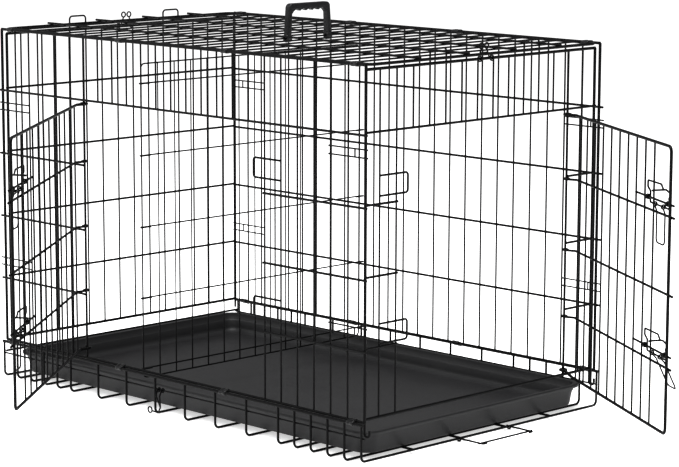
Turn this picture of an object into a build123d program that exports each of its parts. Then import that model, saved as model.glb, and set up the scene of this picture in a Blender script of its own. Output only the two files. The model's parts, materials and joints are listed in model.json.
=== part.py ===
from build123d import *
import os

# Folding wire dog crate. Millimetres, +Z up, origin on the floor under the middle of the crate.
# X runs along the length (+X is the end with a door), Y across the width (-Y is the long side with a door).

# ---- overall size ----
PITCH_X = 38.0
PITCH_Y = 37.3
CELLS_X = 24
CELLS_Y = 15
SIDE_X = PITCH_X * CELLS_X / 2          # corner posts of the long panels
SIDE_Y = PITCH_Y * CELLS_Y / 2          # plane of the long panels
END_X = SIDE_X - 6.0                    # plane of the end panels, between the long ones
END_EDGE_Y = SIDE_Y - 6.0               # edge wires of the end panels
TOP_Z = 630.0                           # top wires of the long panels and frame of the roof
END_TOP_Z = TOP_Z - 8.0                 # top wire of the end panels
SILL_Z = 68.0                           # bottom wire of the long panels
END_SILL_Z = SILL_Z + 3.0
LEVEL_STEP = 113.4
LEVELS = [SILL_Z + LEVEL_STEP * k for k in range(1, 5)]
END_LEVELS = [z + 3.0 for z in LEVELS]

# ---- wire ----
FRAME_WIRE = 5.0
CROSS_WIRE = 4.0
THIN_WIRE = 3.0
DIVIDER_WIRE = 2.6
DIVIDER_THIN_WIRE = 2.2
LATCH_WIRE = 3.0
GUIDE_WIRE = 3.5
CATCH_WIRE = 2.5
WELD = 0.4                              # how far two welded wires sink into each other
STUB = 6.0                              # cross wires run past the corner posts by this much
RUNNING = 0.4                           # clearance of an eye round its wire

# ---- floor grid ----
FLOOR_WIRE = 4.0
FLOOR_SIDE_Y = SIDE_Y + 7.0
FLOOR_EDGE_Z = SILL_Z - 3.0
FLOOR_BEND = 9.0
FLOOR_COLUMNS = [0, 1, 2, 3, 4, 5, 7, 9, 11, 13, 15, 17, 19, 20, 21, 22, 23, 24]
FLOOR_LOW_Z = FLOOR_WIRE / 2
FLOOR_RUN_Z = FLOOR_LOW_Z + FLOOR_WIRE - 0.3
LOAD_END_Z = 6.0                        # end wire that the tray slides over
RIM_Z = 43.0
RUNNER_STEP = 2 * SIDE_Y / 5
RUNNERS_Y = [RUNNER_STEP * (k - 1.5) for k in range(4)]

# ---- tray ----
TRAY_X = 449.0
TRAY_Y = 268.0
TRAY_BOTTOM = 8.4
TRAY_TOP = 47.0
TRAY_WALL = 2.5
TRAY_LIP = 9.0
TRAY_SLOPE = 7.0

# ---- doors ----
SIDE_HINGE_COLUMN = 6
SIDE_LATCH_COLUMN = 18
END_HINGE_COLUMN = 13
END_LATCH_COLUMN = 2
HINGE_WIRE = 4.0
DOOR_GAP = 67.0                         # last gap of a door, where the strikes stand
DOOR_OFFSET = 8.5                       # door wires stand this far outside the panel's plane
SIDE_DOOR_BOTTOM = 86.0
END_DOOR_BOTTOM = 70.0
END_DOOR_EYE_RISE = 9.0                  # its lowest eye sits higher, above the sill wire
DOOR_TOP = 515.0
DOOR_CORNER = 9.0
SIDE_DOOR_CELLS = 11
END_DOOR_CELLS = 10
SIDE_DOOR_OPEN = 51.5                   # degrees, as the crate stands
END_DOOR_OPEN = 60.0
SIDE_DOOR_LEVELS = [z + 7.0 for z in LEVELS[:3]]
END_DOOR_LEVELS = [172.0, 286.0, 406.5]

# ---- latches, measured from the guide rod and from the door's free edge ----
GUIDE_RISE = 19.0
GUIDE_W = DOOR_OFFSET + THIN_WIRE / 2 + GUIDE_WIRE / 2 - WELD
EYE_R = 3.6                             # coiled eyes of a bolt, outside radius
EYE_LENGTH = 6.0
BOLT_W = GUIDE_W + EYE_R + 0.3
BOLT_LEFT = -98.0
BOLT_RIGHT = -15.0
BOLT_ROD = -9.0
BOLT_OUTLINE = [
    (BOLT_LEFT, BOLT_ROD), (BOLT_LEFT, 8.5), (-109.0, 14.0), (-109.0, 24.0), (-54.0, 25.0),
    (-45.0, 17.5), (-34.0, 19.0), (-12.0, 15.0), (-24.0, 6.0), (BOLT_RIGHT, 2.0), (BOLT_RIGHT, BOLT_ROD),
]
BOLT_BEND = 2.3
HOOK_U = -41.0
HOOK_RISE = 18.0
HOOK_W = -5.0
HOOK_LENGTH = 7.0
PULL_WIRE = 2.5
PULL_U = -61.0
PULL_WIDTH = 34.0
PULL_LENGTH = 60.0
PULL_SPLAY = 3.0
PULL_LEAN = 25.0                         # how far the end door's lower pull stands out, in degrees
PULL_EYE_R = LATCH_WIRE / 2 + 0.35 + PULL_WIRE / 2
STRIKE_REACH = 23.0
STRIKE_LOW = -2.0
STRIKE_HIGH = 30.0

# ---- roof ----
ROOF_EDGE_Y = SIDE_Y - 9.0
ROOF_LONG_Z = TOP_Z + FRAME_WIRE / 2 + CROSS_WIRE / 2 - WELD
ROOF_THIN_Z = ROOF_LONG_Z - CROSS_WIRE / 2 - THIN_WIRE / 2 + WELD
ROOF_OVERRUN = 9.0
CLIP_COLUMNS = [0.65, 8.5, 15.5, 23.35]
CLIP_LENGTH = 15.0
CLIP_SHEET = 1.2

# ---- small parts ----
ARCH_COLUMNS = [4, 10]
ARCH_TOP = 645.0
CATCH_LEVELS = [212.0, 493.0]
CATCH_SPREAD = 13.0
STOP_Y = 61.0
STOP_LENGTH = 47.0
STOP_WIRE = 3.0
HANDLE_COLUMN = 13
HANDLE_FEET = 96.0
HANDLE_TOP = 690.0
DIVIDER_X = -97.0
DIVIDER_TOP = 592.0
DIVIDER_BOTTOM = 50.5
DIVIDER_LEVELS = [67.0, 190.0, 313.0, 436.0, 559.0]
LOCK_X = -27.0


# ---- building blocks ----
def rod(start, end, d):
    """A straight round wire."""
    line = Vector(*end) - Vector(*start)
    return Solid.make_cylinder(d / 2, line.length, Plane(origin=start, z_dir=line))


def bent(points, d, r):
    """A round wire bent with the same radius at every corner."""
    path = FilletPolyline(*points, radius=r)
    return sweep(Plane(origin=path @ 0, z_dir=path % 0) * Circle(d / 2), path=path).solid()


def closed_wire(points, d, r):
    """A closed wire loop, made as two halves that meet face to face."""
    half = len(points) // 2
    start = (Vector(*points[0]) + Vector(*points[-1])) * 0.5
    middle = (Vector(*points[half - 1]) + Vector(*points[half])) * 0.5
    first = [start] + [Vector(*p) for p in points[:half]] + [middle]
    second = [middle] + [Vector(*p) for p in points[half:]] + [start]
    return weld([bent(first, d, r), bent(second, d, r)])


def ring(centre, axis, r, d):
    """A round eye of wire; r is the radius of the wire's centre line."""
    return Solid.make_torus(r, d / 2, Plane(origin=centre, z_dir=axis))


def weld(pieces):
    """One solid out of wires that sink into each other."""
    return pieces[0].fuse(*pieces[1:]) if len(pieces) > 1 else pieces[0]


def column_x(k):
    return PITCH_X * k - SIDE_X


def column_y(k):
    return PITCH_Y * k - SIDE_Y


def save(name, pieces):
    """Write one node; several pieces stay separate solids."""
    if not isinstance(pieces, list):
        pieces = [pieces]
    solids = [s for p in pieces for s in p.solids()]
    shape = solids[0] if len(solids) == 1 else Compound(children=solids)
    export_step(shape, f"parts/{name}.step")


# ---- floor grid ----
def floor_base():
    straight_y = FLOOR_SIDE_Y - FLOOR_BEND
    wires = []
    for k in FLOOR_COLUMNS:
        z = LOAD_END_Z if k == CELLS_X else FLOOR_LOW_Z
        wires.append(rod((column_x(k), -straight_y, z), (column_x(k), straight_y, z), FLOOR_WIRE))
    for y in RUNNERS_Y:
        wires.append(rod((-SIDE_X, y, FLOOR_RUN_Z), (SIDE_X - 1.7, y, FLOOR_RUN_Z), FLOOR_WIRE))
    return weld(wires)


def floor_side(side):
    """Bent-up ends of the floor wires on one long side, with their edge and rim wires."""
    y = side * FLOOR_SIDE_Y
    wires = []
    for k in FLOOR_COLUMNS:
        x = column_x(k)
        z = LOAD_END_Z if k == CELLS_X else FLOOR_LOW_Z
        foot = (x, side * (FLOOR_SIDE_Y - FLOOR_BEND), z)
        wires.append(bent([foot, (x, y, z), (x, y, FLOOR_EDGE_Z)], FLOOR_WIRE, FLOOR_BEND - 0.5))
    wires.append(rod((-SIDE_X - 3, y, FLOOR_EDGE_Z), (SIDE_X + 3, y, FLOOR_EDGE_Z), FRAME_WIRE))
    rim_y = y - side * (FLOOR_WIRE / 2 + THIN_WIRE / 2 - WELD)
    wires.append(rod((-SIDE_X - 4, rim_y, RIM_Z), (SIDE_X + 4, rim_y, RIM_Z), THIN_WIRE))
    return weld(wires)


def floor_far_end():
    """Raised wire that stops the tray at the far end, on four short uprights."""
    x = -SIDE_X + FLOOR_WIRE / 2 - 1.0
    z = RIM_Z + THIN_WIRE + 1.0
    wires = [rod((x, -FLOOR_SIDE_Y + 3.5, z), (x, FLOOR_SIDE_Y - 3.5, z), CROSS_WIRE)]
    for y in RUNNERS_Y:
        wires.append(rod((x - 1.0, y, FLOOR_RUN_Z), (x - 1.0, y, z), CROSS_WIRE))
    return weld(wires)


# ---- panels ----
def long_grille(side, first, last, levels, low, high, thick=()):
    """Upright wires first to last of a long panel, crossed by wires at the given levels."""
    y = side * SIDE_Y
    cross_y = side * (SIDE_Y + THIN_WIRE / 2 + CROSS_WIRE / 2 - WELD)
    wires = []
    for k in range(first, last + 1):
        post = k in (0, CELLS_X)
        d = FRAME_WIRE if post else HINGE_WIRE if k in thick else THIN_WIRE
        wires.append(rod((column_x(k), y, low), (column_x(k), y, high), d))
    x0 = column_x(first) - (STUB if first == 0 else 0)
    x1 = column_x(last) + (STUB if last == CELLS_X else 0)
    wires += [rod((x0, cross_y, z), (x1, cross_y, z), CROSS_WIRE) for z in levels]
    return weld(wires)


def long_header(side):
    """Top wire of a long panel and the short wires above its door opening."""
    y = side * SIDE_Y
    cross_y = side * (SIDE_Y + THIN_WIRE / 2 + CROSS_WIRE / 2 - WELD)
    z = LEVELS[-1]
    wires = [rod((-SIDE_X, y, TOP_Z), (SIDE_X, y, TOP_Z), FRAME_WIRE)]
    x0, x1 = column_x(SIDE_HINGE_COLUMN), column_x(SIDE_LATCH_COLUMN)
    wires.append(rod((x0, cross_y, z), (x1, cross_y, z), CROSS_WIRE))
    for k in range(SIDE_HINGE_COLUMN + 1, SIDE_LATCH_COLUMN):
        wires.append(rod((column_x(k), y, z - 2), (column_x(k), y, TOP_Z), THIN_WIRE))
    return weld(wires)


def long_sill(side):
    return rod((-SIDE_X, side * SIDE_Y, SILL_Z), (SIDE_X, side * SIDE_Y, SILL_Z), FRAME_WIRE)


def back_panel():
    wires = [rod((-SIDE_X, SIDE_Y, z), (SIDE_X, SIDE_Y, z), FRAME_WIRE) for z in (SILL_Z, TOP_Z)]
    wires.append(long_grille(1, 0, CELLS_X, LEVELS, SILL_Z, TOP_Z))
    return weld(wires)


def end_column_y(k):
    if k == 0:
        return -END_EDGE_Y
    if k == CELLS_Y:
        return END_EDGE_Y
    return column_y(k)


def end_grille(end, first, last, levels, low, high, thick=()):
    """Upright wires first to last of an end panel, crossed by wires at the given levels."""
    x = end * END_X
    cross_x = end * (END_X + THIN_WIRE / 2 + CROSS_WIRE / 2 - WELD)
    wires = []
    for k in range(first, last + 1):
        edge = k in (0, CELLS_Y)
        d = FRAME_WIRE if edge else HINGE_WIRE if k in thick else THIN_WIRE
        wires.append(rod((x, end_column_y(k), low), (x, end_column_y(k), high), d))
    y0, y1 = end_column_y(first), end_column_y(last)
    wires += [rod((cross_x, y0, z), (cross_x, y1, z), CROSS_WIRE) for z in levels]
    return weld(wires)


def end_wire(end, z):
    return rod((end * END_X, -END_EDGE_Y, z), (end * END_X, END_EDGE_Y, z), FRAME_WIRE)


def end_header():
    """Top wire of the near end panel and the short wires above its door opening."""
    z = END_LEVELS[-1]
    cross_x = END_X + THIN_WIRE / 2 + CROSS_WIRE / 2 - WELD
    y0, y1 = column_y(END_LATCH_COLUMN), column_y(END_HINGE_COLUMN)
    wires = [end_wire(1, END_TOP_Z), rod((cross_x, y0, z), (cross_x, y1, z), CROSS_WIRE)]
    for k in range(END_LATCH_COLUMN + 1, END_HINGE_COLUMN):
        wires.append(rod((END_X, column_y(k), z - 2), (END_X, column_y(k), END_TOP_Z), THIN_WIRE))
    return weld(wires)


def far_panel():
    wires = [end_wire(-1, z) for z in (END_SILL_Z, END_TOP_Z)]
    wires.append(end_grille(-1, 0, CELLS_Y, END_LEVELS, END_SILL_Z, END_TOP_Z))
    return weld(wires)


def corner_hooks(end):
    """Edge wires of an end panel carried on below its sill; those of the near end curl outward."""
    hooks = []
    for side in (-1, 1):
        x, y = end * END_X, side * END_EDGE_Y
        if end > 0:
            points = [(x, y, END_SILL_Z - 1), (x, y, 44.0), (x + 11, y, 44.0), (x + 11, y, 55.0)]
            hooks.append(bent(points, CROSS_WIRE, 5.0))
        else:
            hooks.append(rod((x, y, END_SILL_Z - 1), (x, y, 54.0), CROSS_WIRE))
    return hooks


def arches(end):
    """Two inverted U wires that stand up from an end panel through the roof grid."""
    wires = []
    x = end * END_X
    for k in ARCH_COLUMNS:
        y0, y1 = column_y(k), column_y(k + 1)
        points = [(x, y0, END_TOP_Z + 2), (x, y0, ARCH_TOP), (x, y1, ARCH_TOP), (x, y1, END_TOP_Z + 2)]
        wires.append(bent(points, THIN_WIRE, 6.0))
    return wires


def corner_catches(side):
    """Pairs of short wires on a long panel, joined by a bar near the corner post."""
    catches = []
    y = side * (SIDE_Y + FRAME_WIRE / 2 + CATCH_WIRE / 2 - WELD)
    for end in (-1, 1):
        x0 = end * (SIDE_X + 8)
        x1 = end * (SIDE_X - 2 * PITCH_X - 2)
        bar_x = end * (SIDE_X - 20)
        for level in CATCH_LEVELS:
            low, high = level - CATCH_SPREAD / 2, level + CATCH_SPREAD / 2
            pair = [rod((x0, y, z), (x1, y, z), CATCH_WIRE) for z in (low, high)]
            catches.append(weld(pair + [rod((bar_x, y, low), (bar_x, y, high), CATCH_WIRE)]))
    return catches


# ---- roof ----
def roof():
    outline = [
        (-SIDE_X, -ROOF_EDGE_Y, TOP_Z), (SIDE_X, -ROOF_EDGE_Y, TOP_Z),
        (SIDE_X, ROOF_EDGE_Y, TOP_Z), (-SIDE_X, ROOF_EDGE_Y, TOP_Z),
    ]
    wires = [closed_wire(outline, FRAME_WIRE, 14.0)]
    thin_y = ROOF_EDGE_Y - 1.0
    for k in range(1, CELLS_X):
        x = column_x(k)
        wires.append(rod((x, -thin_y, ROOF_THIN_Z), (x, thin_y, ROOF_THIN_Z), THIN_WIRE))
    reach = SIDE_X + ROOF_OVERRUN
    for y in RUNNERS_Y:
        wires.append(rod((-reach, y, ROOF_LONG_Z), (reach, y, ROOF_LONG_Z), CROSS_WIRE))
    for y in RUNNERS_Y:
        for end in (-1, 1):
            x = end * SIDE_X
            wires.append(rod((x, y, TOP_Z), (x, y, ROOF_LONG_Z), CROSS_WIRE))
    return weld(wires)


def sleeve(x, first, second, d):
    """A sheet-metal clip that wraps two parallel wires running along X."""
    a, b = Vector(x - CLIP_LENGTH / 2, *first), Vector(x - CLIP_LENGTH / 2, *second)
    plane = Plane(origin=(a + b) * 0.5, x_dir=(b - a), z_dir=(1, 0, 0))
    span = (b - a).length
    inner = d + 0.3
    outer = inner + 2 * CLIP_SHEET
    profile = SlotCenterToCenter(span, outer) - SlotCenterToCenter(span, inner)
    return extrude(plane * profile, CLIP_LENGTH).solid()


def roof_clips(side):
    first, second = (side * SIDE_Y, TOP_Z), (side * ROOF_EDGE_Y, TOP_Z)
    return [sleeve(column_x(k), first, second, FRAME_WIRE) for k in CLIP_COLUMNS]


def sill_clips(side):
    first, second = (side * SIDE_Y, SILL_Z), (side * FLOOR_SIDE_Y, FLOOR_EDGE_Z)
    return [sleeve(column_x(k), first, second, FRAME_WIRE) for k in CLIP_COLUMNS]


# ---- doors: u runs from the hinge, w outward from the panel; hand is -1 for the side door, 1 for the end door
def door_point(hand, u, w, z):
    return (u, hand * w, z)


def side_place(angle=SIDE_DOOR_OPEN):
    """Closed side door to its place, opened by angle."""
    return Pos(column_x(SIDE_HINGE_COLUMN), -SIDE_Y, 0) * Rot(0, 0, -angle)


def end_place(angle=END_DOOR_OPEN):
    return Pos(END_X, column_y(END_HINGE_COLUMN), 0) * Rot(0, 0, angle - 90)


def hinged_wire(hand, z, d, w, reach, eye_rise=0.0):
    """A door wire whose hinge end is bent in to an eye round the hinge wire."""
    r = HINGE_WIRE / 2 + RUNNING + d / 2
    eye_z = z + eye_rise
    path = ((r, 0, eye_z), (r + 4, 0, eye_z), (r + 14, w, z), (reach, w, z))
    points = [door_point(hand, *p) for p in path]
    return [bent(points, d, 3.0), ring(door_point(hand, 0, 0, eye_z), (0, 0, 1), r, d)]


def door_frame(hand, width, bottom, eye_rise):
    """Top, free edge and bottom of a door in one bent wire, with an eye at each end."""
    w = DOOR_OFFSET
    pieces = hinged_wire(hand, DOOR_TOP, FRAME_WIRE, w, 40.0)
    pieces += hinged_wire(hand, bottom, FRAME_WIRE, w, 40.0, eye_rise)
    rim = [(40.0, bottom), (width, bottom), (width, DOOR_TOP), (40.0, DOOR_TOP)]
    pieces.append(bent([door_point(hand, u, w, z) for u, z in rim], FRAME_WIRE, DOOR_CORNER))
    return weld(pieces)


def door_wires(hand, width, pitch, cells, levels, bottom):
    """Upright and cross wires of a door, and the two guide rods of its latches."""
    pieces = []
    for k in range(1, cells + 1):
        low = door_point(hand, k * pitch, DOOR_OFFSET, bottom)
        high = door_point(hand, k * pitch, DOOR_OFFSET, DOOR_TOP)
        pieces.append(rod(low, high, THIN_WIRE))
    cross_w = DOOR_OFFSET + THIN_WIRE / 2 + CROSS_WIRE / 2 - WELD
    for z in levels:
        pieces += hinged_wire(hand, z, CROSS_WIRE, cross_w, width + 9.0)
    for z in (levels[0] + GUIDE_RISE, levels[2] + GUIDE_RISE):
        start = door_point(hand, (cells - 2) * pitch - 8, GUIDE_W, z)
        pieces.append(rod(start, door_point(hand, width + 8, GUIDE_W, z), GUIDE_WIRE))
    return weld(pieces)


def bolt(hand, width, z):
    """Wavy wire loop that slides along the guide rod, with a hook that reaches in through the strike."""
    outline = [door_point(hand, width + u, BOLT_W, z + rise) for u, rise in BOLT_OUTLINE]
    pieces = [closed_wire(outline, LATCH_WIRE, BOLT_BEND)]
    for u in (BOLT_LEFT, BOLT_RIGHT):
        start = Plane(origin=door_point(hand, width + u - EYE_LENGTH / 2, GUIDE_W, z), z_dir=(1, 0, 0))
        eye = Circle(EYE_R) - Circle(GUIDE_WIRE / 2 + RUNNING)
        pieces.append(extrude(start * eye, EYE_LENGTH).solid())
    hook = ((HOOK_U, BOLT_W), (HOOK_U, HOOK_W), (HOOK_U + HOOK_LENGTH, HOOK_W))
    points = [door_point(hand, width + u, w, z + HOOK_RISE) for u, w in hook]
    pieces.append(bent(points, LATCH_WIRE, 2.5))
    return weld(pieces)


def pull(hand, width, z, lean):
    """Long U of wire that hangs from the lower rod of a bolt, turned outward by lean."""
    top, start = z + BOLT_ROD, z + BOLT_ROD - PULL_EYE_R
    out = BOLT_W + PULL_SPLAY
    left, right = width + PULL_U - PULL_WIDTH / 2, width + PULL_U + PULL_WIDTH / 2
    down = ((BOLT_W, start), (out, start - 8), (out, top - PULL_LENGTH))
    points = [door_point(hand, left, w, rise) for w, rise in down]
    points += [door_point(hand, right, w, rise) for w, rise in reversed(down)]
    pieces = [bent(points, PULL_WIRE, 7.0)]
    for u in (left, right):
        pieces.append(ring(door_point(hand, u, BOLT_W, top), (1, 0, 0), PULL_EYE_R, PULL_WIRE))
    axis = Pos(*door_point(hand, 0, BOLT_W, top))
    return axis * Rot(hand * lean, 0, 0) * axis.inverse() * weld(pieces)


def strikes(hand, opening, pitch, levels, place):
    """D loops on the two panel wires beside a door opening."""
    loops = []
    w = THIN_WIRE / 2 + GUIDE_WIRE / 2 - WELD
    for z in (levels[0] + GUIDE_RISE, levels[2] + GUIDE_RISE):
        outer, inner = opening + pitch + 2, opening - STRIKE_REACH
        low, high = z + STRIKE_LOW, z + STRIKE_HIGH
        corners = ((outer, low), (inner, low), (inner, high), (outer, high))
        points = [door_point(hand, u, w, rise) for u, rise in corners]
        loops.append(place * bent(points, GUIDE_WIRE, 5.0))
    return loops


# ---- tray, stop, handle, divider, small clips ----
def pan_face(half_x, half_y, corner, z):
    return Plane.XY.offset(z) * RectangleRounded(2 * half_x, 2 * half_y, corner)


def tray():
    lip_low = TRAY_TOP - 5.0
    wall_x, wall_y = TRAY_X - TRAY_LIP + TRAY_WALL, TRAY_Y - TRAY_LIP + TRAY_WALL
    foot_x, foot_y = wall_x - TRAY_SLOPE, wall_y - TRAY_SLOPE
    floor_z = TRAY_BOTTOM + TRAY_WALL
    shell = loft([pan_face(foot_x, foot_y, 22, TRAY_BOTTOM), pan_face(wall_x, wall_y, 26, TRAY_TOP)])
    shell += extrude(pan_face(TRAY_X, TRAY_Y, 32, lip_low), TRAY_TOP - lip_low)
    t = TRAY_WALL
    hollow = loft([
        pan_face(foot_x - t, foot_y - t, 20, floor_z),
        pan_face(wall_x - t, wall_y - t, 24, TRAY_TOP + 1),
    ])
    return (shell - hollow).solid()


def tray_stop():
    """U wire that lies flat in front of the tray and swings up to hold it in; its eyes are open on top."""
    x = SIDE_X
    r = FLOOR_WIRE / 2 + RUNNING + STOP_WIRE / 2
    bar_x = x + STOP_LENGTH
    z = LOAD_END_Z
    pieces = [rod((bar_x, -STOP_Y - 4, z), (bar_x, STOP_Y + 4, z), STOP_WIRE)]
    for side in (-1, 1):
        y = side * STOP_Y
        leg = [(x + r, y, z), (bar_x + 6, y, z), (bar_x + 6, y - side * 9, z)]
        pieces.append(bent(leg, STOP_WIRE, 3.0))
        open_top = Pos(x, y, TRAY_BOTTOM + 4.6) * Box(14, 6, 10)
        pieces.append(ring((x, y, z), (0, 1, 0), r, STOP_WIRE) - open_top)
    return weld(pieces)


def carry_handle():
    """Moulded grip with finger scallops, on two arms whose feet snap round one roof wire."""
    x = column_x(HANDLE_COLUMN)
    half = HANDLE_FEET / 2
    arm = 11.0
    depth = 12.0
    face = Plane(origin=(x, 0, 0), x_dir=(0, 1, 0), z_dir=(1, 0, 0))
    base = ROOF_THIN_Z
    grip = HANDLE_TOP - 14
    outer = [
        (-half - arm / 2, base), (-half + 1, HANDLE_TOP),
        (half - 1, HANDLE_TOP), (half + arm / 2, base),
    ]
    inner = [
        (-half + arm / 2, base), (-half + arm, grip),
        (half - arm, grip), (half - arm / 2, base),
    ]
    sketch = make_face(Polyline(*outer, close=True)) - make_face(Polyline(*inner, close=True))
    for k in range(5):
        sketch -= Pos((k - 2) * 14.0, HANDLE_TOP - 17.5) * Circle(6.0)
    body = extrude(face * sketch, depth / 2, both=True)
    for y in (-half, half):
        foot = Plane(origin=(x, y - arm / 2, ROOF_THIN_Z), z_dir=(0, 1, 0))
        body += extrude(foot * Circle(7.0), arm)
    for y in (-half, half):
        foot = Plane(origin=(x, y - arm, ROOF_THIN_Z), z_dir=(0, 1, 0))
        body -= extrude(foot * Circle(THIN_WIRE / 2 + 0.2), 2 * arm)
    return body.solid()


def divider():
    """Loose panel of thin wire that splits the cabin, with folded hooks at the ends of its cross wires."""
    x = DIVIDER_X
    top_half, hook_half = 262.0, 268.0
    wires = []
    outline = [
        (x, -top_half, DIVIDER_BOTTOM), (x, top_half, DIVIDER_BOTTOM),
        (x, top_half, DIVIDER_TOP), (x, -top_half, DIVIDER_TOP),
    ]
    wires.append(closed_wire(outline, DIVIDER_WIRE, 8.0))
    step = 2 * top_half / 14
    for k in range(1, 14):
        y = -top_half + k * step
        wires.append(rod((x, y, DIVIDER_BOTTOM), (x, y, DIVIDER_TOP), DIVIDER_THIN_WIRE))
    cross_x = x + (DIVIDER_WIRE + DIVIDER_THIN_WIRE) / 2 - WELD
    fold_x = cross_x + 4.4
    back = hook_half - 20
    for z in DIVIDER_LEVELS:
        points = [
            (fold_x, -back, z), (fold_x, -hook_half, z), (cross_x, -hook_half, z),
            (cross_x, hook_half, z), (fold_x, hook_half, z), (fold_x, back, z),
        ]
        wires.append(bent(points, DIVIDER_WIRE, 2.0))
    return weld(wires)


def roof_clip(end):
    """Spring clip on the top wire of an end panel, with two finger loops."""
    r = FRAME_WIRE / 2 + RUNNING + CATCH_WIRE / 2
    x = end * (END_X - r)
    loop_z, loop_r, loop_y = ARCH_TOP - 3.0, 4.5, 6.5
    foot_y, bridge_z = 13.0, 631.0
    bridge_y = loop_y + (foot_y - loop_y) * (loop_z - loop_r - bridge_z) / (loop_z - loop_r - END_TOP_Z)
    pieces = [rod((x, -bridge_y, bridge_z), (x, bridge_y, bridge_z), CATCH_WIRE)]
    for side in (-1, 1):
        pieces.append(ring((end * END_X, side * (foot_y + 1.4), END_TOP_Z), (0, 1, 0), r, CATCH_WIRE))
        pieces.append(rod((x, side * foot_y, END_TOP_Z), (x, side * loop_y, loop_z - loop_r), CATCH_WIRE))
        pieces.append(ring((x, side * loop_y, loop_z), (1, 0, 0), loop_r, CATCH_WIRE))
    return weld(pieces)


def folding_lock():
    """Small wire catch on the rim wire of the front floor side; it passes one floor upright on the outside."""
    y = -(FLOOR_SIDE_Y - FLOOR_WIRE / 2 - THIN_WIRE / 2 + WELD)
    r = THIN_WIRE / 2 + RUNNING + CATCH_WIRE / 2
    near_y, out_y = y - r, y - r - 4.2
    shoulder, elbow = RIM_Z - 9, 15.0
    pieces = []
    for dx in (-5.0, 5.0):
        pieces.append(ring((LOCK_X + dx, y, RIM_Z), (1, 0, 0), r, CATCH_WIRE))
    hook = [
        (LOCK_X - 5, near_y, RIM_Z), (LOCK_X - 4, out_y, shoulder), (LOCK_X + 7, out_y, elbow),
        (LOCK_X + 1, out_y, 5), (LOCK_X - 15, out_y, 6),
    ]
    pieces.append(bent(hook, CATCH_WIRE, 2.5))
    brace = [(LOCK_X + 5, near_y, RIM_Z), (LOCK_X + 5, out_y, shoulder), (LOCK_X + 7, out_y, elbow)]
    pieces.append(bent(brace, CATCH_WIRE, 2.5))
    pieces.append(ring((LOCK_X - 20, out_y, 7), (0, 1, 0), 5.0, CATCH_WIRE))
    return weld(pieces)


# ---- the assembly ----
def save_floor():
    save("floor_base", floor_base())
    save("floor_side_front", floor_side(-1))
    save("floor_side_back", floor_side(1))
    save("floor_far_end", floor_far_end())


def save_panels():
    last = CELLS_X
    hinge, latch = SIDE_HINGE_COLUMN, SIDE_LATCH_COLUMN
    save("front_panel_left", long_grille(-1, 0, hinge, LEVELS, SILL_Z, TOP_Z, (hinge,)))
    save("front_panel_header", long_header(-1))
    save("front_panel_right", long_grille(-1, latch, last, LEVELS, SILL_Z, TOP_Z))
    save("front_panel_sill", long_sill(-1))
    save("back_panel", back_panel())
    low, high = END_SILL_Z, END_TOP_Z
    hinge = END_HINGE_COLUMN
    save("near_panel_left", end_grille(1, 0, END_LATCH_COLUMN, END_LEVELS, low, high))
    save("near_panel_header", end_header())
    save("near_panel_right", end_grille(1, hinge, CELLS_Y, END_LEVELS, low, high, (hinge,)))
    save("near_panel_sill", end_wire(1, END_SILL_Z))
    save("far_panel", far_panel())
    save("roof_panel", roof())


def save_fittings():
    for name, side in (("front", -1), ("back", 1)):
        save(f"roof_clips_{name}", roof_clips(side))
        save(f"sill_clips_{name}", sill_clips(side))
        save(f"corner_catches_{name}", corner_catches(side))
    for name, end in (("near", 1), ("far", -1)):
        save(f"corner_hooks_{name}", corner_hooks(end))
        save(f"roof_arches_{name}", arches(end))
        save(f"end_spring_clip_{name}", roof_clip(end))
    side_opening = PITCH_X * (SIDE_LATCH_COLUMN - SIDE_HINGE_COLUMN)
    end_opening = PITCH_Y * (END_HINGE_COLUMN - END_LATCH_COLUMN)
    save("side_strikes", strikes(-1, side_opening, PITCH_X, SIDE_DOOR_LEVELS, side_place(0)))
    save("end_strikes", strikes(1, end_opening, PITCH_Y, END_DOOR_LEVELS, end_place(0)))


def save_door(name, hand, cells_wide, levels, bottom, eye_rise, place, leans):
    pitch, cells = cells_wide
    width = pitch * cells + DOOR_GAP
    save(f"{name}_frame", place * door_frame(hand, width, bottom, eye_rise))
    save(f"{name}_wires", place * door_wires(hand, width, pitch, cells, levels, bottom))
    for where, level, lean in (("lower", levels[0], leans[0]), ("upper", levels[2], leans[1])):
        z = level + GUIDE_RISE
        save(f"{name}_{where}_bolt", place * bolt(hand, width, z))
        save(f"{name}_{where}_pull", place * pull(hand, width, z, lean))


def save_doors():
    side = (PITCH_X, SIDE_DOOR_CELLS)
    save_door("side_door", -1, side, SIDE_DOOR_LEVELS, SIDE_DOOR_BOTTOM, 0.0, side_place(), (0.0, 0.0))
    end = (PITCH_Y, END_DOOR_CELLS)
    rise = END_DOOR_EYE_RISE
    save_door("end_door", 1, end, END_DOOR_LEVELS, END_DOOR_BOTTOM, rise, end_place(), (PULL_LEAN, 0.0))


def main():
    os.makedirs("parts", exist_ok=True)
    save_floor()
    save_panels()
    save_fittings()
    save_doors()
    save("tray", tray())
    save("tray_stop", tray_stop())
    save("carry_handle", carry_handle())
    save("divider_panel", divider())
    save("folding_lock", folding_lock())


main()
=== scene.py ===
import json
import math

import bmesh
import bpy
from mathutils import Matrix, Vector

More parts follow.
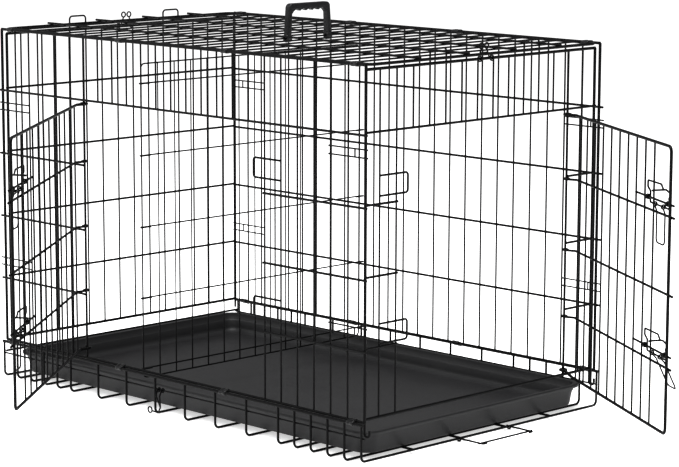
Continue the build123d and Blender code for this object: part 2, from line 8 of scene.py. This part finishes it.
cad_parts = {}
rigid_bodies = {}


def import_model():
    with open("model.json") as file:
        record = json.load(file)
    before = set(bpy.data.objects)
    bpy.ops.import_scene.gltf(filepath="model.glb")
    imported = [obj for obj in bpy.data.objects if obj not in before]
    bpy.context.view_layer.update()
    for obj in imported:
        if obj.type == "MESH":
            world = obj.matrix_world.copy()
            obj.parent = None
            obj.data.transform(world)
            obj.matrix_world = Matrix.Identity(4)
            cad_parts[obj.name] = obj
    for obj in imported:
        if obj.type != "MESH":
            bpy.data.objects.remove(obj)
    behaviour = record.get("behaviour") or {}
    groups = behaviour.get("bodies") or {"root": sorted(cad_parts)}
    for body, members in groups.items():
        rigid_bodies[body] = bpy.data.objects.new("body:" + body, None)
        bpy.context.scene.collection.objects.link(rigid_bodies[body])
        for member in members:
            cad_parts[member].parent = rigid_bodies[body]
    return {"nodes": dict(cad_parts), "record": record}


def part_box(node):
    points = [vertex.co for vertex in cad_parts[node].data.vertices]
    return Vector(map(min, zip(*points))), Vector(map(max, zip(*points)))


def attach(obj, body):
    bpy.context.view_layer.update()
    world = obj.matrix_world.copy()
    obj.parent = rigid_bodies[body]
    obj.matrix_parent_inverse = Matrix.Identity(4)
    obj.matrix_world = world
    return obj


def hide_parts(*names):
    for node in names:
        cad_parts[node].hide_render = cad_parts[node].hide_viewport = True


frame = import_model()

MM = 0.001

# ---- sizes that the CAD nodes don't give ----
CLIP_WIRE = 5 * MM                      # wires that the sheet clips wrap
CLIP_GAP = 30 * MM                      # clips of one node stand further apart than this
COIL_PLACES = {"near": -37 * MM, "far": 46 * MM}    # along the door, from the pull's hinge line
COIL_INSET = 3.9 * MM
COIL_RISE = 9.0 * MM
COIL_HALF = 3.6 * MM
COIL_RADIUS = 3.5 * MM
COIL_WIRE = 1.8 * MM
COIL_TURNS = 4

# ---- camera ----
CAMERA_PLACE = Vector((3.2183, -3.0721, 1.0090))
CAMERA_HEADING = 45.2738                # degrees, from +Y towards -X
CAMERA_DIP = 9.25971
CAMERA_ROLL = 0.14863
CAMERA_LENS = 136.4


# ---- small helpers ----
def nodes_named(*parts):
    """CAD nodes whose name holds any of the given words."""
    return [n for n in frame["nodes"] if any(p in n for p in parts)]


def new_object(name, mesh):
    piece = bpy.data.objects.new(name, mesh)
    bpy.context.scene.collection.objects.link(piece)
    return piece


def mesh_from(bm, name):
    mesh = bpy.data.meshes.new(name)
    bmesh.ops.recalc_face_normals(bm, faces=bm.faces)
    bm.to_mesh(mesh)
    bm.free()
    for face in mesh.polygons:
        face.use_smooth = True
    return new_object(name, mesh)


def sharpen(piece, degrees):
    """Keeps edges sharper than the angle crisp while the rest is shaded smooth."""
    limit = math.radians(degrees)
    bm = bmesh.new()
    bm.from_mesh(piece.data)
    for edge in bm.edges:
        edge.smooth = len(edge.link_faces) != 2 or edge.calc_face_angle(0) < limit
    bm.to_mesh(piece.data)
    bm.free()


def spans_along_x(node, gap):
    """Boxes of the separate pieces of a node that stand apart along X by more than gap."""
    points = sorted((v.co.copy() for v in frame["nodes"][node].data.vertices), key=lambda p: p.x)
    groups = [[points[0]]]
    for p in points[1:]:
        if p.x - groups[-1][-1].x > gap:
            groups.append([])
        groups[-1].append(p)
    boxes = []
    for group in groups:
        low = Vector([min(p[i] for p in group) for i in range(3)])
        high = Vector([max(p[i] for p in group) for i in range(3)])
        boxes.append((low, high))
    return boxes


# ---- node materials ----
def material(name, colour, roughness, specular):
    mat = bpy.data.materials.new(name)
    mat.use_nodes = True
    shader = mat.node_tree.nodes["Principled BSDF"]
    shader.inputs["Base Color"].default_value = (*colour, 1)
    shader.inputs["Roughness"].default_value = roughness
    shader.inputs["Specular IOR Level"].default_value = specular
    return mat, mat.node_tree, shader


def add(tree, kind, **values):
    node = tree.nodes.new(kind)
    for key, value in values.items():
        if key in node.inputs:
            node.inputs[key].default_value = value
        else:
            setattr(node, key, value)
    return node


def noise(tree, scale, detail=2.0, stretch=(1, 1, 1)):
    """Noise in the object's own metres; scale is in features per metre."""
    place = add(tree, "ShaderNodeTexCoord")
    mapping = add(tree, "ShaderNodeMapping")
    mapping.inputs["Scale"].default_value = stretch
    tree.links.new(place.outputs["Object"], mapping.inputs["Vector"])
    texture = add(tree, "ShaderNodeTexNoise", Scale=scale, Detail=detail)
    tree.links.new(mapping.outputs["Vector"], texture.inputs["Vector"])
    return texture


def ramp(tree, source, stops):
    node = tree.nodes.new("ShaderNodeValToRGB")
    while len(node.color_ramp.elements) < len(stops):
        node.color_ramp.elements.new(0.5)
    for element, (place, colour) in zip(node.color_ramp.elements, stops):
        element.position = place
        element.color = (*colour, 1)
    tree.links.new(source, node.inputs["Fac"])
    return node.outputs["Color"]


def bump(tree, shader, height, distance, strength):
    node = add(tree, "ShaderNodeBump", Strength=strength, Distance=distance)
    tree.links.new(height, node.inputs["Height"])
    tree.links.new(node.outputs["Normal"], shader.inputs["Normal"])


def spread(tree, source, low, high):
    node = add(tree, "ShaderNodeMapRange")
    node.inputs["To Min"].default_value = low
    node.inputs["To Max"].default_value = high
    tree.links.new(source, node.inputs["Value"])
    return node.outputs["Result"]


def coated_wire():
    """Black electro-coated steel: satin, with the faint ripple of drawn wire and thin spots in the coat."""
    mat, tree, shader = material("black_coated_wire", (0.003, 0.003, 0.0033), 0.3, 0.12)
    tone = noise(tree, 45, 3)
    stops = [(0.3, (0.0015, 0.0015, 0.0017)), (0.72, (0.005, 0.005, 0.0054))]
    colour = ramp(tree, tone.outputs["Fac"], stops)
    tree.links.new(colour, shader.inputs["Base Color"])
    grain = noise(tree, 900, 2)
    tree.links.new(spread(tree, tone.outputs["Fac"], 0.28, 0.5), shader.inputs["Roughness"])
    bump(tree, shader, grain.outputs["Fac"], 0.00008, 0.5)
    return mat


def clip_steel():
    mat, tree, shader = material("black_clip_steel", (0.008, 0.008, 0.0085), 0.3, 0.3)
    tone = noise(tree, 160, 3)
    colour = ramp(tree, tone.outputs["Fac"], [(0.35, (0.004, 0.004, 0.0045)), (0.75, (0.014, 0.014, 0.015))])
    tree.links.new(colour, shader.inputs["Base Color"])
    tree.links.new(spread(tree, tone.outputs["Fac"], 0.22, 0.42), shader.inputs["Roughness"])
    bump(tree, shader, noise(tree, 1200, 2).outputs["Fac"], 0.00006, 0.5)
    return mat


def tray_plastic():
    """Vacuum-formed plastic with a fine leather grain and faint scuffs."""
    mat, tree, shader = material("tray_plastic", (0.022, 0.022, 0.023), 0.45, 0.32)
    tone = noise(tree, 9, 4)
    scuff = noise(tree, 70, 5, (1, 6, 1))
    mixed = add(tree, "ShaderNodeMath", operation="MULTIPLY_ADD")
    tree.links.new(scuff.outputs["Fac"], mixed.inputs[0])
    mixed.inputs[1].default_value = 0.35
    tree.links.new(tone.outputs["Fac"], mixed.inputs[2])
    colour = ramp(tree, mixed.outputs[0], [(0.45, (0.017, 0.017, 0.018)), (0.95, (0.026, 0.026, 0.027))])
    tree.links.new(colour, shader.inputs["Base Color"])
    tree.links.new(spread(tree, mixed.outputs[0], 0.36, 0.54), shader.inputs["Roughness"])
    grain = add(tree, "ShaderNodeTexVoronoi", Scale=650.0)
    place = add(tree, "ShaderNodeTexCoord")
    tree.links.new(place.outputs["Object"], grain.inputs["Vector"])
    bump(tree, shader, grain.outputs["Distance"], 0.00012, 0.6)
    return mat


def handle_plastic():
    mat, tree, shader = material("handle_plastic", (0.01, 0.01, 0.011), 0.42, 0.3)
    tone = noise(tree, 60, 3)
    colour = ramp(tree, tone.outputs["Fac"], [(0.3, (0.007, 0.007, 0.0075)), (0.75, (0.015, 0.015, 0.016))])
    tree.links.new(colour, shader.inputs["Base Color"])
    tree.links.new(spread(tree, tone.outputs["Fac"], 0.34, 0.5), shader.inputs["Roughness"])
    bump(tree, shader, noise(tree, 1500, 2).outputs["Fac"], 0.00008, 0.6)
    return mat


def floor_paint():
    mat, tree, shader = material("studio_floor", (0.94, 0.94, 0.94), 0.9, 0.05)
    shader.inputs["Emission Color"].default_value = (1, 1, 1, 1)
    shader.inputs["Emission Strength"].default_value = 0.6
    stops = [(0.3, (0.93, 0.93, 0.93)), (0.7, (0.95, 0.95, 0.95))]
    colour = ramp(tree, noise(tree, 3, 2).outputs["Fac"], stops)
    tree.links.new(colour, shader.inputs["Base Color"])
    return mat


def paint(piece, mat):
    piece.data.materials.clear()
    piece.data.materials.append(mat)


# ---- tray ----
def rounded_ring(half_x, half_y, radius, z, per_corner):
    """Points round a rounded rectangle."""
    points = []
    corners = ((1, 1, 0), (-1, 1, 90), (-1, -1, 180), (1, -1, 270))
    for sx, sy, start in corners:
        for k in range(per_corner + 1):
            a = math.radians(start + 90 * k / per_corner)
            x = sx * (half_x - radius) + radius * math.cos(a)
            y = sy * (half_y - radius) + radius * math.sin(a)
            points.append(Vector((x, y, z)))
    return points


def make_tray(mat):
    low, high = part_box("tray")
    half_x, half_y = (high.x - low.x) / 2, (high.y - low.y) / 2
    top, bottom = high.z, low.z
    lip, wall, cove = 9 * MM, 2.4 * MM, 16 * MM
    inner_floor = bottom + wall
    profile = [
        (0.3 * MM, top - 5 * MM), (0, top - 4.4 * MM), (0, top - 1.6 * MM), (0.5 * MM, top - 0.4 * MM),
        (1.6 * MM, top), (lip - 1.8 * MM, top), (lip - 0.5 * MM, top - 0.4 * MM), (lip, top - 1.8 * MM),
        (lip + 0.8 * MM, top - 11 * MM), (lip + 2.4 * MM, top - 12.4 * MM), (lip + 3.2 * MM, top - 14 * MM),
    ]
    cove_rise = cove * 0.72
    for k in range(7):
        a = math.radians(90 * k / 6)
        inset = lip + 5.4 * MM + cove * (1 - math.cos(a))
        profile.append((inset, inner_floor + cove_rise * (1 - math.sin(a))))
    outer = lip - wall
    outside = [
        (0.9 * MM, top - 5 * MM), (outer - 1 * MM, top - 5 * MM), (outer, top - 6 * MM),
        (outer + 0.8 * MM, top - 11 * MM), (outer + 2.4 * MM, top - 12.4 * MM),
        (outer + 6.4 * MM, bottom + 3 * MM), (outer + 8 * MM, bottom + 0.6 * MM), (outer + 10 * MM, bottom),
    ]
    bm = bmesh.new()
    centre_x, centre_y = (high.x + low.x) / 2, (high.y + low.y) / 2

    def ring(inset, z):
        radius = max(32 * MM - inset * 0.6, 12 * MM)
        points = rounded_ring(half_x - inset, half_y - inset, radius, z, 8)
        return [bm.verts.new(p + Vector((centre_x, centre_y, 0))) for p in points]

    def skin(rings):
        for a, b in zip(rings, rings[1:]):
            for k in range(len(a)):
                j = (k + 1) % len(a)
                bm.faces.new((a[k], a[j], b[j], b[k]))

    rings = [ring(*p) for p in profile]
    under = [ring(*p) for p in outside]
    skin(rings)
    skin([rings[0]] + under)
    bm.faces.new(rings[-1])
    bm.faces.new(under[-1])
    tray = mesh_from(bm, "moulded_tray")
    sharpen(tray, 50)
    paint(tray, mat)
    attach(tray, "tray")
    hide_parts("tray")


# ---- handle ----
def handle_outline(half, base, top, arm, scallops):
    """Closed outline of the grip and arms, seen along X, with finger scallops under the grip."""
    points = []

    def corner(y, z, radius, start):
        for k in range(7):
            a = math.radians(start + 90 * k / 6)
            points.append((y + radius * math.cos(a), z + radius * math.sin(a)))

    inner = half - arm * 0.62
    points.append((half + arm * 0.5, base))
    corner(half - 7.5 * MM, top - 8 * MM, 8 * MM, 0)
    corner(-half + 7.5 * MM, top - 8 * MM, 8 * MM, 90)
    points.append((-half - arm * 0.5, base))
    points.append((-half + arm * 0.5, base))
    grip = top - 13 * MM
    points.append((-inner + 1 * MM, grip - 5 * MM))
    points.append((-inner + 5 * MM, grip - 0.5 * MM))
    width = 2 * (inner - 6 * MM) / scallops
    for n in range(scallops):
        left = -inner + 6 * MM + n * width
        for k in range(1, 9):
            t = k / 8
            dip = 3.2 * MM * math.sin(math.pi * t)
            points.append((left + t * width, grip + dip))
    points.append((inner - 5 * MM, grip - 0.5 * MM))
    points.append((inner - 1 * MM, grip - 5 * MM))
    points.append((half - arm * 0.5, base))
    return points


def make_handle(mat):
    low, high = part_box("carry_handle")
    x = (low.x + high.x) / 2
    base = low.z + 7 * MM
    half = (high.y - low.y) / 2 - 5.5 * MM
    curve = bpy.data.curves.new("handle_outline", "CURVE")
    curve.dimensions = "2D"
    curve.fill_mode = "BOTH"
    curve.extrude = 4.0 * MM
    curve.bevel_depth = 2.0 * MM
    curve.bevel_resolution = 3
    curve.offset = -2.0 * MM
    outline = handle_outline(half, base + 3 * MM, high.z, 9 * MM, 5)
    spline = curve.splines.new("POLY")
    spline.points.add(len(outline) - 1)
    for point, (y, z) in zip(spline.points, outline):
        point.co = (y, z, 0, 1)
    spline.use_cyclic_u = True
    temp = bpy.data.objects.new("handle_curve", curve)
    bpy.context.scene.collection.objects.link(temp)
    mesh = bpy.data.meshes.new_from_object(temp)
    bpy.data.objects.remove(temp)
    turn = Matrix(((0, 0, 1, x), (1, 0, 0, 0), (0, 1, 0, 0), (0, 0, 0, 1)))
    mesh.transform(turn)
    bm = bmesh.new()
    bm.from_mesh(mesh)
    bmesh.ops.remove_doubles(bm, verts=bm.verts, dist=1e-6)
    for side in (-1, 1):
        add_foot(bm, x, side * half, base)
    handle = mesh_from(bm, "moulded_handle")
    sharpen(handle, 40)
    paint(handle, mat)
    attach(handle, "carry_handle")
    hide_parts("carry_handle")


def add_foot(bm, x, y, z):
    """Snap barrel of one arm, round the roof wire: an open ring with rounded ends."""
    outer, hole, length = 7 * MM, 1.75 * MM, 11 * MM
    half, chamfer, round_over = length / 2, 0.8 * MM, 1.2 * MM
    profile = [
        (-half + 1 * MM, hole), (-half, hole + chamfer),
        (-half, outer - round_over), (-half + round_over, outer),
        (half - round_over, outer), (half, outer - round_over),
        (half, hole + chamfer), (half - 1 * MM, hole),
    ]
    steps = 28
    rings = []
    for k in range(steps):
        a = 2 * math.pi * k / steps
        rings.append([bm.verts.new((x + r * math.cos(a), y + u, z + r * math.sin(a))) for u, r in profile])
    for k in range(steps):
        a, b = rings[k], rings[(k + 1) % steps]
        for n in range(len(profile)):
            m = (n + 1) % len(profile)
            bm.faces.new((a[n], a[m], b[m], b[n]))


# ---- sheet-metal clips ----
def strip_section(span, outer, steps):
    """Points round a stadium whose two centres are span apart along local X."""
    points = []
    for side, start in ((1, -90), (-1, 90)):
        for k in range(steps + 1):
            a = math.radians(start + 180 * k / steps)
            points.append(Vector((side * span / 2 + outer / 2 * math.cos(a), outer / 2 * math.sin(a), 0)))
    return points


def add_clip(bm, centre, direction, span, outer, length):
    """A crimped strip wrapped round two wires: waisted in the middle, ends rolled over."""
    across = direction.normalized()
    up = Vector((1, 0, 0)).cross(across)
    stations = [(-0.5, 0.82), (-0.47, 0.94), (-0.40, 1.0), (-0.16, 1.0), (-0.09, 0.9), (0.09, 0.9),
                (0.16, 1.0), (0.40, 1.0), (0.47, 0.94), (0.5, 0.82)]
    loops = []
    for place, fat in stations:
        loops.append([])
        for p in strip_section(span, outer * fat, 8):
            point = centre + across * p.x + up * p.y + Vector((place * length, 0, 0))
            loops[-1].append(bm.verts.new(point))
    for a, b in zip(loops, loops[1:]):
        for k in range(len(a)):
            j = (k + 1) % len(a)
            bm.faces.new((a[k], a[j], b[j], b[k]))
    bm.faces.new(loops[0])
    bm.faces.new(loops[-1])


def make_clips(node, wire, mat):
    bm = bmesh.new()
    for low, high in spans_along_x(node, CLIP_GAP):
        size = high - low
        centre = (low + high) / 2
        outer = wire + 2.7 * MM
        drop = max(size.z - outer, 0)
        side = 1 if centre.y > 0 else -1
        direction = Vector((0, size.y - outer, -side * drop))
        add_clip(bm, centre, direction, direction.length, outer, size.x)
    clip = mesh_from(bm, "crimped_" + node)
    sharpen(clip, 60)
    paint(clip, mat)
    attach(clip, "crate")
    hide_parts(node)


# ---- wound eyes of the latches ----
def helix(start, end, radius, wire, turns, name):
    """A closely wound coil of wire about the line from start to end."""
    along = (end - start).normalized()
    across = along.cross(Vector((0, 0, 1))).normalized()
    up = along.cross(across)
    per_turn = 20
    steps = int(turns * per_turn)
    curve = bpy.data.curves.new(name, "CURVE")
    curve.dimensions = "3D"
    curve.bevel_depth = wire / 2
    curve.bevel_resolution = 2
    curve.use_fill_caps = True
    spline = curve.splines.new("POLY")
    spline.points.add(steps)
    for k, point in enumerate(spline.points):
        a = 2 * math.pi * k / per_turn
        place = start.lerp(end, k / steps) + (across * math.cos(a) + up * math.sin(a)) * radius
        point.co = (*place, 1)
    temp = bpy.data.objects.new(name, curve)
    bpy.context.scene.collection.objects.link(temp)
    coil = new_object(name, bpy.data.meshes.new_from_object(temp))
    bpy.data.objects.remove(temp)
    for face in coil.data.polygons:
        face.use_smooth = True
    return coil


def wind_latches(mat):
    """Coils over the two plain eyes of every bolt; the joint of its pull gives the place and direction."""
    for joint in frame["record"]["behaviour"]["joints"]:
        if not joint["name"].endswith("_pull_hinge"):
            continue
        bolt = joint["parent"]
        hinge, u = Vector(joint["pos_m"]), Vector(joint["axis"]).normalized()
        door_hinge = Vector(joint_of(bolt.split("_door")[0] + "_door_hinge")["pos_m"])
        free = u if (hinge - door_hinge).dot(u) > 0 else -u
        out = Vector((0, 0, 1)).cross(free)
        if (hinge - door_hinge).dot(out) < 0:
            out = -out
        for side, place in COIL_PLACES.items():
            centre = hinge + free * place - out * COIL_INSET + Vector((0, 0, COIL_RISE))
            start, end = centre - free * COIL_HALF, centre + free * COIL_HALF
            coil = helix(start, end, COIL_RADIUS, COIL_WIRE, COIL_TURNS, f"coil_{bolt}_{side}")
            paint(coil, mat)
            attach(coil, bolt)


def joint_of(name):
    return next(j for j in frame["record"]["behaviour"]["joints"] if j["name"] == name)


# ---- studio ----
def camera():
    data = bpy.data.cameras.new("camera")
    data.sensor_width = 36
    data.lens = CAMERA_LENS
    data.clip_end = 60
    rig = bpy.data.objects.new("camera", data)
    bpy.context.scene.collection.objects.link(rig)
    heading = Matrix.Rotation(math.radians(CAMERA_HEADING), 4, "Z")
    dip = Matrix.Rotation(math.radians(90 - CAMERA_DIP), 4, "X")
    roll = Matrix.Rotation(math.radians(CAMERA_ROLL), 4, "Z")
    rig.matrix_world = Matrix.Translation(CAMERA_PLACE) @ heading @ dip @ roll
    bpy.context.scene.camera = rig


def area_light(name, place, aim, size, power):
    data = bpy.data.lights.new(name, "AREA")
    data.shape = "SQUARE"
    data.size = size
    data.energy = power
    lamp = bpy.data.objects.new(name, data)
    lamp.location = place
    lamp.rotation_euler = (Vector(aim) - Vector(place)).to_track_quat("-Z", "Y").to_euler()
    bpy.context.scene.collection.objects.link(lamp)


def studio():
    world = bpy.data.worlds.new("studio")
    bpy.context.scene.world = world
    world.use_nodes = True
    sky = world.node_tree.nodes["Background"]
    sky.inputs["Color"].default_value = (1, 1, 1, 1)
    sky.inputs["Strength"].default_value = 0.5
    area_light("key", (0.6, -0.9, 4.4), (0, 0, 0.1), 3.2, 330)
    area_light("fill", (-3.0, -2.5, 2.6), (0, 0, 0.3), 2.5, 50)
    bm = bmesh.new()
    bmesh.ops.create_grid(bm, x_segments=2, y_segments=2, size=30)
    floor = mesh_from(bm, "floor")
    floor.location.z = -0.0005
    paint(floor, floor_paint())
    view = bpy.context.scene.view_settings
    view.view_transform = "Standard"
    view.gamma = 0.8


# ---- the scene ----
def corners(bounds):
    return [[round(value, 6) for value in corner] for corner in bounds]


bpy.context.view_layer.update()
wire_mat, clip_mat = coated_wire(), clip_steel()
for node in frame["nodes"].values():
    paint(node, wire_mat)
make_tray(tray_plastic())
make_handle(handle_plastic())
for name in nodes_named("roof_clips", "sill_clips"):
    make_clips(name, CLIP_WIRE, clip_mat)
wind_latches(wire_mat)
camera()
studio()
